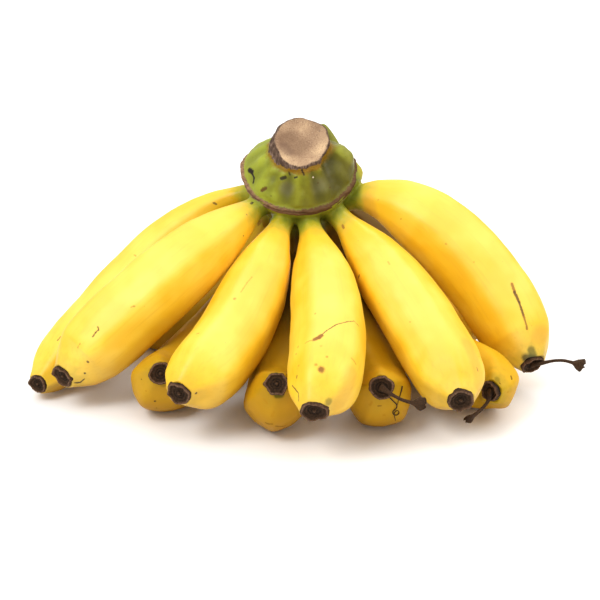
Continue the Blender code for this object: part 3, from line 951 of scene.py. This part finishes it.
def strokes_on(obj, name):
    """The marks of a piece as strokes between places on it: colour, half width, strength, start, end."""
    found = []
    for shade, half_width, strength, *pixels in MARKS.get(name, ()):
        places = [p for p in (seen_at(pixel, obj) for pixel in pixels) if p]
        for start, end in zip(places, places[1:] or places):
            found.append((shade, half_width * MM, strength, start, end))
    return found


print("strokes on fingers:", {name: len(strokes_on(piece, name)) for name, piece in fingers.items()})

# %% [markdown]
# ## Two hairs at the middle finger
#
# The hairs hang in front of the skin of the lower finger between the middle and the right one.

# %% Hang the hairs
HAIR_RADIUS = 0.20 * MM
HAIR_LIFT, HAIR_DROPS = 0.45 * MM, 1.4 * MM     # in front of the skin, and per pixel beside it
HAIR_SIDES, HAIR_RINGS = 8, 70
HAIRS = (
    ((386, 393), (389, 397), (393, 401), (397.5, 405), (396, 409), (392.5, 411), (393, 414.5), (397, 415.5),
     (399.5, 412.5), (397.5, 410), (394.5, 412), (394, 416), (395.5, 420), (395, 423.5)),
    ((402.3, 386), (401.6, 390), (399.8, 396), (398, 402), (397, 406)),
)
hairs = []
for i, pixels in enumerate(HAIRS):
    route, last = [], None
    for pixel in pixels:
        hit = seen_at(pixel, fingers["lower_4"])
        last = hit + towards_camera * HAIR_LIFT if hit else last + Vector((0, 0, -HAIR_DROPS))
        route.append(last.copy())
    line = Line(cut_corners(route))
    rings = [(share * line.length, HAIR_RADIUS * (1.5 - share)) for share in np.linspace(0, 1, HAIR_RINGS)]
    hair = grow("hair_%d" % i, HAIR_SIDES, rings)
    move_points(hair, lay_along(points_of(hair), line))
    remember(hair, "depth", STALK_DEPTH)
    hairs.append(hair)
only(ends["lower_4"], *hairs)
bpy.ops.object.join()
print("hairs:", len(HAIRS))

# %% [markdown]
# ## Skin
#
# Ripe banana skin is a satin wax over a warm yellow that isn't even: it is greener near the crown,
# where it ripens last, mottled by a few tones, finely streaked along its length, and freckled with
# tiny brown dots. The green depends only on the distance from the middle of the scar, so stalk and
# finger have the same colour where they meet. The real change is slow and patchy, which the noise
# that shifts the distance gives.

# %% Shared skin colour
SKIN_YELLOW = "#ECBC17"
GREEN_STOPS = ((0, "#66701F"), (0.28, "#8B9028"), (0.52, "#B5A524"), (0.78, "#DDB21C"), (1, SKIN_YELLOW))
GREEN_FROM, GREEN_TO = 24 * MM, 41 * MM
GREEN_PATCH, GREEN_SHIFT = 7 * MM, 7 * MM     # size of the patches, and how far they move the change


def lay_over(tree, base, top, mask, *more_masks):
    """Lays a colour over a base, as far as all the masks let it."""
    for other in more_masks:
        mask = add(tree, MATH, {0: mask, 1: other}, operation="MULTIPLY")
    return add(tree, MIX, {FACTOR: mask, FIRST: base, SECOND: top}, RESULT, data_type="RGBA")


def tint(tree, base, value, low, high, strength, shade, *masks, step="LINEAR"):
    """Tints a base, from nothing where a value is low to the full strength where it is high."""
    mask = add(tree, RANGE, {"Value": value, "From Min": low, "From Max": high, "To Max": strength},
               interpolation_type=step)
    return lay_over(tree, base, colour(shade), mask, *masks)


def skin_colour(tree, place):
    """Green near the crown, ripe yellow away from it."""
    away = add(tree, VECTOR, {0: place, 1: CROWN_CENTRE}, "Value", operation="DISTANCE")
    patches = add(tree, NOISE, {"Vector": place, "Scale": 1 / GREEN_PATCH, "Detail": 3.0})
    shift = add(tree, MATH, {0: patches, 1: 2 * GREEN_SHIFT, 2: -GREEN_SHIFT}, operation="MULTIPLY_ADD")
    uneven = add(tree, MATH, {0: away, 1: shift}, operation="ADD")
    ripeness = add(tree, RANGE, {"Value": uneven, "From Min": GREEN_FROM, "From Max": GREEN_TO})
    return add(tree, RAMP, {"Fac": ripeness}, stops=GREEN_STOPS)


print("all yellow from", round(GREEN_TO / MM), "mm off the crown's middle")

# %% Painted light and shade by where the skin faces
# Painted shade of the upper row on the lower one: its colour on fingers and on stalks, and its strength
ROW_SHADE_FINGER, ROW_SHADE_STALK, ROW_SHADE_STRENGTH = "#452C07", "#6E4C08", 0.9
ROW_SHADE_FACES = Vector((0, -0.6, 0.8))      # towards the upper row
HIGHLIGHT_FACES = Vector((-0.1, -0.5, 0.86))   # up and to the front
STRAIGHT_UP = Vector((0, 0, 1))
# Of these colours, the first is painted shade near the table, the second a painted highlight, and the third
# the skin's own olive at the tip.
PAINTED_SHADE_OCHRE, PAINTED_HIGHLIGHT_LEMON, OLIVE = "#A87708", "#F4D76C", "#7A7214"
NEAR_TABLE, FAR_FROM_TABLE = 12 * MM, 48 * MM


def facing(tree, direction):
    """How far the surface faces a direction, from -1 to 1."""
    normal = add(tree, SURFACE, out="Normal")
    return add(tree, VECTOR, {0: normal, 1: direction}, "Value", operation="DOT_PRODUCT")


def painted_row_shade(tree, base, in_row_shade, shade):
    """Painted shade: dull brown where a finger or a stalk of the lower row faces the row above it."""
    return tint(tree, base, facing(tree, ROW_SHADE_FACES), -0.35, 0.25, ROW_SHADE_STRENGTH, shade, in_row_shade)


def painted_top_highlight(tree, base, share):
    """Painted highlight: paler lemon on the top of a finger's middle, where the light falls."""
    past_neck = add(tree, RANGE, {"Value": share, "From Min": 0.22, "From Max": 0.50})
    before_tip = add(tree, RANGE, {"Value": share, "From Min": 0.96, "From Max": 0.76})
    return tint(tree, base, facing(tree, HIGHLIGHT_FACES), 0.68, 1.0, 0.36, PAINTED_HIGHLIGHT_LEMON, past_neck, before_tip)


def painted_table_shade(tree, place, base):
    """Painted shade: deeper ochre where skin faces down close above the table."""
    low = add(tree, SPLIT, {0: place}, out="Z")
    low = add(tree, RANGE, {"Value": low, "From Min": FAR_FROM_TABLE, "From Max": NEAR_TABLE})
    return tint(tree, base, facing(tree, STRAIGHT_UP), 0.15, -0.7, 0.8, PAINTED_SHADE_OCHRE, low)


print("the table's shade reaches", round(FAR_FROM_TABLE / MM), "mm up")

# %% Paint the marks
TREMBLE = 0.9 * MM                    # size and strength of the waver in a stroke's edge
SHORTEST_STROKE = 0.05 * MM
EDGE_OUTSIDE, EDGE_INSIDE = 1.35, 0.5     # where a stroke begins and is full, in half widths


def mark_skin(tree, place, base, strokes):
    """Paints strokes on a colour. Returns the colour and a mask of all strokes."""
    waver = add(tree, NOISE, {"Vector": place, "Scale": 1 / TREMBLE, "Detail": 3.0}, "Color")
    waver = add(tree, VECTOR, {0: waver, 1: (0.5, 0.5, 0.5)}, operation="SUBTRACT")
    waver = add(tree, VECTOR, {0: waver, "Scale": TREMBLE}, operation="SCALE")
    place = add(tree, VECTOR, {0: place, 1: waver}, operation="ADD")
    everything = 0.0
    for shade, half_width, strength, start, end in strokes:
        from_start = add(tree, VECTOR, {0: place, 1: start}, operation="SUBTRACT")
        along = end - start
        if along.length > SHORTEST_STROKE:
            per_length = along / along.length_squared
            share = add(tree, VECTOR, {0: from_start, 1: per_length}, "Value", operation="DOT_PRODUCT")
            share = add(tree, MATH, {0: share, 1: 1.0}, operation="MULTIPLY", use_clamp=True)
            nearest = add(tree, VECTOR, {0: along, "Scale": share}, operation="SCALE")
            away = add(tree, VECTOR, {0: from_start, 1: nearest}, "Value", operation="DISTANCE")
        else:
            away = add(tree, VECTOR, {0: from_start}, "Value", operation="LENGTH")
        edge = {"Value": away, "From Min": half_width * EDGE_OUTSIDE, "From Max": half_width * EDGE_INSIDE}
        mask = add(tree, RANGE, {**edge, "To Max": strength}, interpolation_type="SMOOTHSTEP")
        base = lay_over(tree, base, colour(shade), mask)
        everything = add(tree, MATH, {0: mask, 1: everything}, operation="MAXIMUM")
    return base, everything


print("edges of strokes waver by up to", round(TREMBLE / 2 / MM, 2), "mm")

# %% Skin of a finger
MOTTLE_SIZE, STREAK_SIZE_MM, FRECKLE_CELL = 19 * MM, 1.3, 4.2 * MM
SMEAR_SIZE, PORE_SIZE, PORE_DEPTH = 4 * MM, 0.5 * MM, 0.06 * MM    # pores drawn coarser, to show
LOWER_ROW_SHADE_COLOUR, LOWER_ROW_SHADE_USUAL = "#B0820C", 0.85     # painted shade that deepens the lower row towards its tips
LOWER_ROW_SHADE = {"lower_3": 1.0, "lower_5": 0.5}
TIP_SHADE_USUAL = 0.18
TIP_SHADE = {"upper_6": 0.35, "lower_5": 0.4, "upper_2": 0.3}
# share of the length where the painted shade under the upper row ends, where it is full, and how full
ROW_SHADE_SPAN_USUAL = (0.66, 0.30, 1.0)
ROW_SHADE_SPAN = {"lower_1": (1.0, 0.75, 0.55)}
UPPER_GLOSS, LOWER_GLOSS = 0.6, 0.15          # the lower row is dustier


def ripe_skin(name, strokes):
    """Satin waxy yellow, mottled, streaked and freckled, with painted highlight and shade and this finger's
    own marks.
    """
    upper = name.startswith("upper")
    material, tree, shader = new_material("ripe waxy skin " + name)
    place = add(tree, PLACE, out="Object")
    straight = add(tree, REMEMBERED, out="Vector", attribute_name="straight_mm")
    share = add(tree, REMEMBERED, out="Fac", attribute_name="share")
    grown = add(tree, RANGE, {"Value": share, "From Min": 0.17, "From Max": 0.32})

    mottle = add(tree, NOISE, {"Vector": place, "Scale": 1 / MOTTLE_SIZE, "Detail": 2.0})
    stretched = add(tree, VECTOR, {0: straight, 1: (1.0, 1.0, 0.04)}, operation="MULTIPLY")
    streaks = add(tree, NOISE, {"Vector": stretched, "Scale": 1 / STREAK_SIZE_MM, "Detail": 3.0})
    base = skin_colour(tree, place)
    base = tint(tree, base, mottle, 0.45, 0.75, 0.4, "#E0A611", grown)
    base = tint(tree, base, mottle, 0.58, 0.25, 0.55, "#F4D254", grown)
    base = tint(tree, base, streaks, 0.52, 0.8, 0.28, "#CC9410", grown)

    # a freckle in some of the cells, each of its own size
    cells = add(tree, "ShaderNodeTexVoronoi", {"Vector": place, "Scale": 1 / FRECKLE_CELL, "Randomness": 1.0})
    lottery = add(tree, "ShaderNodeSeparateColor", {0: cells.node.outputs["Color"]})
    size = add(tree, RANGE, {"Value": lottery, "From Min": 0.6, "From Max": 1.0, "To Max": 0.075})
    inside = add(tree, MATH, {0: size, 1: cells}, operation="SUBTRACT")
    base = tint(tree, base, inside, 0.0, 0.03, 0.6, "#8A5E10")

    # painted highlight on the upper row, painted shade on the lower row, and painted shade near the table
    if upper:
        base = painted_top_highlight(tree, base, share)
    else:
        base = tint(tree, base, share, 0.25, 0.95, LOWER_ROW_SHADE.get(name, LOWER_ROW_SHADE_USUAL), LOWER_ROW_SHADE_COLOUR)
        bare, hidden, strength = ROW_SHADE_SPAN.get(name, ROW_SHADE_SPAN_USUAL)
        in_row_shade = add(tree, RANGE, {"Value": share, "From Min": bare, "From Max": hidden, "To Max": strength},
                      interpolation_type="SMOOTHSTEP")
        base = painted_row_shade(tree, base, in_row_shade, ROW_SHADE_FINGER)
    base = painted_table_shade(tree, place, base)
    smear = add(tree, NOISE, {"Vector": place, "Scale": 1 / SMEAR_SIZE, "Detail": 2.0})
    tip = add(tree, MATH, {0: smear, 1: 0.09, 2: share}, operation="MULTIPLY_ADD")
    base = tint(tree, base, tip, 0.99, 1.05, TIP_SHADE.get(name, TIP_SHADE_USUAL), OLIVE, step="SMOOTHSTEP")
    base, marked = mark_skin(tree, place, base, strokes)

    dull = add(tree, MATH, {0: marked, 1: 0.3, 2: 0.45}, operation="MULTIPLY_ADD")
    dull = add(tree, MATH, {0: mottle, 1: 0.12, 2: dull}, operation="MULTIPLY_ADD")
    pores = add(tree, NOISE, {"Vector": place, "Scale": 1 / PORE_SIZE, "Detail": 2.0})
    relief = add(tree, MATH, {0: streaks, 1: 1.6, 2: pores}, operation="MULTIPLY_ADD")
    relief = add(tree, MATH, {0: marked, 1: -1.2, 2: relief}, operation="MULTIPLY_ADD")
    bump = add(tree, BUMP, {"Height": relief, "Strength": 0.35, "Distance": PORE_DEPTH})
    set_inputs(tree, shader, {"Base Color": base, "Roughness": dull, "Normal": bump,
                              "Specular IOR Level": UPPER_GLOSS if upper else LOWER_GLOSS})
    return material


def dress(piece, *materials):
    piece.data.materials.clear()
    for material in materials:
        piece.data.materials.append(material)


for name, piece in fingers.items():
    dress(piece, ripe_skin(name, strokes_on(piece, name)))
print("skins:", len(fingers))

# %% [markdown]
# ## Green crown
#
# The crown ripens last. Its flesh is painted lime on the lit side and olive on the shaded one, with a
# grey bloom in two hollows, painted shade in the flutes and painted light on the ridges between. Near
# the bark it is stained to a ragged ochre collar, and the scar is cork, painted darker on its shaded
# right. The stalks of the lower row get painted shade where they face the row above. All this is one
# material, in which a point's look follows from its height above the middle of the scar, and each
# point of the dome remembers that. Bark and cut have a second one.

# %% Skin of the crown
PATCH_SIZE, FINE_SIZE, FIBRE_SIZE, CROWN_RELIEF = 5 * MM, 1.1 * MM, 0.5 * MM, 0.15 * MM
LEFT, RIGHT = -22 * MM, 12 * MM
FLESH_STOPS = ((0, "#5A560C"), (0.4, "#6C680F"), (0.75, "#7E8019"), (1, "#8F962A"))
SCAR_FROM, SCAR_TO, SCAR_SOFT = -1.9, 2.4, 0.5     # heights in mm


def crown_skin(strokes):
    """Waxy green flesh with grey bloom, painted light and shade, an ochre collar and the brown fibrous scar.
    """
    material, tree, shader = new_material("green crown skin")
    place = add(tree, PLACE, out="Object")
    height, groove, strand, bloom, stalk = (
        add(tree, REMEMBERED, out="Fac", attribute_name=name)
        for name in ("height_mm", "groove", "strand", "bloom", "lower_stalk"))
    patches = add(tree, NOISE, {"Vector": place, "Scale": 1 / PATCH_SIZE, "Detail": 3.0})
    fine = add(tree, NOISE, {"Vector": place, "Scale": 1 / FINE_SIZE, "Detail": 4.0})
    on_dome = add(tree, RANGE, {"Value": height, "From Min": 0.5, "From Max": 2.0})
    sideways = add(tree, SPLIT, {0: place})

    # painted light: lime on the lit left, olive on the shaded right
    lime = add(tree, RANGE, {"Value": sideways, "From Min": RIGHT, "From Max": LEFT})
    lime = add(tree, MATH, {0: patches, 1: 0.8, 2: lime}, operation="MULTIPLY_ADD")
    lime = add(tree, RANGE, {"Value": lime, "From Min": 0.3, "From Max": 1.3})
    flesh = add(tree, RAMP, {"Fac": lime}, stops=FLESH_STOPS)
    # painted shade where the stalks of the lower row face the row above
    stalks = painted_row_shade(tree, skin_colour(tree, place), stalk, ROW_SHADE_STALK)
    base = lay_over(tree, stalks, flesh, on_dome)

    # grey bloom on the middle of the dome, the shade in the flutes and the light on the ridges
    bloom = add(tree, MATH, {0: patches, 1: 0.5, 2: bloom}, operation="MULTIPLY_ADD")
    bloom = add(tree, RANGE, {"Value": bloom, "From Min": 0.38, "From Max": 1.0, "To Max": 0.85})
    middle = add(tree, RANGE, {"Value": height, "From Min": 3.0, "From Max": 6.0})
    below = add(tree, RANGE, {"Value": height, "From Min": 13.0, "From Max": 10.0})
    for mask in (middle, below):
        bloom = add(tree, MATH, {0: bloom, 1: mask}, operation="MULTIPLY")
    base = lay_over(tree, base, colour("#77744A"), bloom)
    base = tint(tree, base, groove, 0.3, 1.0, 0.65, "#39350A")
    base = tint(tree, base, groove, 0.3, 0.0, 0.5, "#B3BA3E", middle, patches)

    # ochre collar under the bark, and freckles
    collar = add(tree, MATH, {0: fine, 1: 3.0, 2: height}, operation="MULTIPLY_ADD")
    base = tint(tree, base, collar, 14.0, 15.8, 0.95, "#82600F")
    base = tint(tree, base, fine, 0.68, 0.74, 0.5, "#4A4410")

    # the scar, with an uneven edge and a dark gap between its strands, darker in the shade on the right
    edge = add(tree, MATH, {0: fine, 1: 1.4, 2: height}, operation="MULTIPLY_ADD")
    above = add(tree, RANGE, {"Value": edge, "From Min": SCAR_FROM, "From Max": SCAR_FROM + SCAR_SOFT})
    under = add(tree, RANGE, {"Value": edge, "From Min": SCAR_TO, "From Max": SCAR_TO - SCAR_SOFT})
    scar = add(tree, MATH, {0: above, 1: under}, operation="MULTIPLY")
    fibres = add(tree, VECTOR, {0: place, 1: (0.25, 0.25, 1.0)}, operation="MULTIPLY")
    fibres = add(tree, NOISE, {"Vector": fibres, "Scale": 1 / FIBRE_SIZE, "Detail": 4.0})
    cork = add(tree, RAMP, {"Fac": fibres}, stops=((0.3, "#5F4431"), (0.5, "#86644A"), (0.7, "#A5835F")))
    cork = lay_over(tree, cork, colour("#5A4030"), strand)
    cork = tint(tree, cork, sideways, LEFT, 0.0, 0.8, "#4C3316")
    base = lay_over(tree, base, cork, scar)
    base, marked = mark_skin(tree, place, base, strokes)

    dull = 0.40
    for mask, more in ((scar, 0.4), (bloom, 0.2), (marked, 0.2)):
        dull = add(tree, MATH, {0: mask, 1: more, 2: dull}, operation="MULTIPLY_ADD")
    relief = add(tree, MATH, {0: scar, 1: fibres}, operation="MULTIPLY")
    relief = add(tree, MATH, {0: relief, 1: 4.0, 2: fine}, operation="MULTIPLY_ADD")
    relief = add(tree, MATH, {0: marked, 1: -2.5, 2: relief}, operation="MULTIPLY_ADD")
    bump = add(tree, BUMP, {"Height": relief, "Strength": 0.6, "Distance": CROWN_RELIEF})
    set_inputs(tree, shader, {"Base Color": base, "Roughness": dull, "Normal": bump,
                              "Specular IOR Level": 0.22})
    return material


print("scar from", SCAR_FROM, "to", SCAR_TO, "mm round its middle")

# %% Bark and cut of the stub
GRAIN_SIZE, CLOUD_SIZE, BARK_FIBRE, BARK_RELIEF = 0.55 * MM, 12 * MM, 0.8 * MM, 0.2 * MM
CORK_STOPS = ((0.3, "#8A6E56"), (0.5, "#A6886A"), (0.7, "#C9AA84"))
BARK_STOPS = ((0.3, "#33241B"), (0.55, "#5C483B"), (0.75, "#8A7262"))


def cut_stub(strokes):
    """Dark fibrous bark, and on top the dry tan cork of the cut, speckled and smudged grey."""
    material, tree, shader = new_material("dried bark and cut cork")
    place = add(tree, PLACE, out="Object")
    radius = add(tree, REMEMBERED, out="Fac", attribute_name="radius_mm")
    fine = add(tree, NOISE, {"Vector": place, "Scale": 1 / GRAIN_SIZE, "Detail": 4.0})
    broad = add(tree, NOISE, {"Vector": place, "Scale": 1 / CLOUD_SIZE, "Detail": 2.0})
    cork = add(tree, RAMP, {"Fac": broad}, stops=CORK_STOPS)
    cork = tint(tree, cork, fine, 0.55, 0.70, 0.75, "#6E5340")
    cork = tint(tree, cork, fine, 0.42, 0.28, 0.5, "#CDB393")
    cork, _ = mark_skin(tree, place, cork, strokes)
    fibres = add(tree, VECTOR, {0: place, 1: (1.0, 0.4, 0.3)}, operation="MULTIPLY")
    fibres = add(tree, NOISE, {"Vector": fibres, "Scale": 1 / BARK_FIBRE, "Detail": 4.0})
    bark = add(tree, RAMP, {"Fac": fibres}, stops=BARK_STOPS)
    rim = add(tree, MATH, {0: fine, 1: 1.0, 2: radius}, operation="MULTIPLY_ADD")
    rim = add(tree, RANGE, {"Value": rim, "From Min": 12.75, "From Max": 13.35})
    relief = add(tree, MATH, {0: fine, 1: fibres}, operation="ADD")
    bump = add(tree, BUMP, {"Height": relief, "Strength": 0.7, "Distance": BARK_RELIEF})
    set_inputs(tree, shader, {"Base Color": lay_over(tree, cork, bark, rim), "Roughness": 0.9, "Normal": bump,
                              "Specular IOR Level": 0.2})
    return material


print("bark fibres:", round(BARK_FIBRE / MM, 1), "mm")

# %% Dress the crown
BARK_FROM, BARK_DROPS = 17.0, 2.8     # height of its lower edge in front, and how much lower on the left
BARK_LEFT, BARK_WIDTH = -75, 40       # where that is round the stub, in degrees
BARK_WAVES = ((5, 0.35, 0), (11, 0.3, 50), (19, 0.3, 10), (37, 0.3, 80))

strokes = [stroke for part in (dome, crown, rib) for stroke in strokes_on(part, "crown")]
green, cut = crown_skin(strokes), cut_stub(strokes_on(dome, "stub"))
for part in (crown, dome, rib):
    dress(part, green, cut)
bark_from = BARK_FROM - BARK_DROPS * np.exp(-((bearing - BARK_LEFT) / BARK_WIDTH) ** 2)
is_bark = height > bark_from + waves(bearing, *BARK_WAVES)
for polygon in dome.data.polygons:
    polygon.material_index = int(is_bark[list(polygon.vertices)].mean() > 0.5)
only(crown, dome, rib)
bpy.ops.object.join()
print("crown:", len(crown.data.polygons), "faces,", len(strokes), "strokes")

# %% [markdown]
# ## Dry flowers
#
# A dried flower is almost black in its pits and dusty brown where it stands up. Each point remembers
# how high it stands, so one ramp colours rims and pits, and styles and hairs too.

# %% Dried flower
CRUMB_SIZE, CRUMB_DEPTH = 0.7 * MM, 0.3 * MM
FLOWER_STOPS = ((0.28, "#190F08"), (0.42, "#312010"), (0.56, "#46301F"), (0.68, "#684D39"), (0.82, "#80644E"))


def dried_flower():
    """Almost black inside, dusty brown on the rim, dry and crumbly all over."""
    material, tree, shader = new_material("dry crumbled flower")
    place = add(tree, PLACE, out="Object")
    depth = add(tree, REMEMBERED, out="Fac", attribute_name="depth")
    crumbs = add(tree, NOISE, {"Vector": place, "Scale": 1 / CRUMB_SIZE, "Detail": 4.0})
    raised = add(tree, MATH, {0: crumbs, 1: 0.45, 2: depth}, operation="MULTIPLY_ADD")
    shade = add(tree, RAMP, {"Fac": raised}, stops=FLOWER_STOPS)
    bump = add(tree, BUMP, {"Height": crumbs, "Strength": 0.8, "Distance": CRUMB_DEPTH})
    set_inputs(tree, shader, {"Base Color": shade, "Roughness": 0.92, "Normal": bump,
                              "Specular IOR Level": 0.25})
    return material


flower = dried_flower()
for name, end in ends.items():
    dress(end, flower)
    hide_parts("flower_end_" + name)
print("flower ends dressed:", len(ends))

# %% [markdown]
# ## One body
#
# Nothing on a hand of bananas moves, so every piece rides on the same body.

# %% Put every piece on the body
bpy.data.objects.remove(straight_finger)
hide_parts("crown")
for piece in (crown, *fingers.values(), *ends.values()):
    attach(piece, "root")
    only(piece)
    bpy.ops.object.shade_smooth()
print("pieces:", 1 + len(fingers) + len(ends))
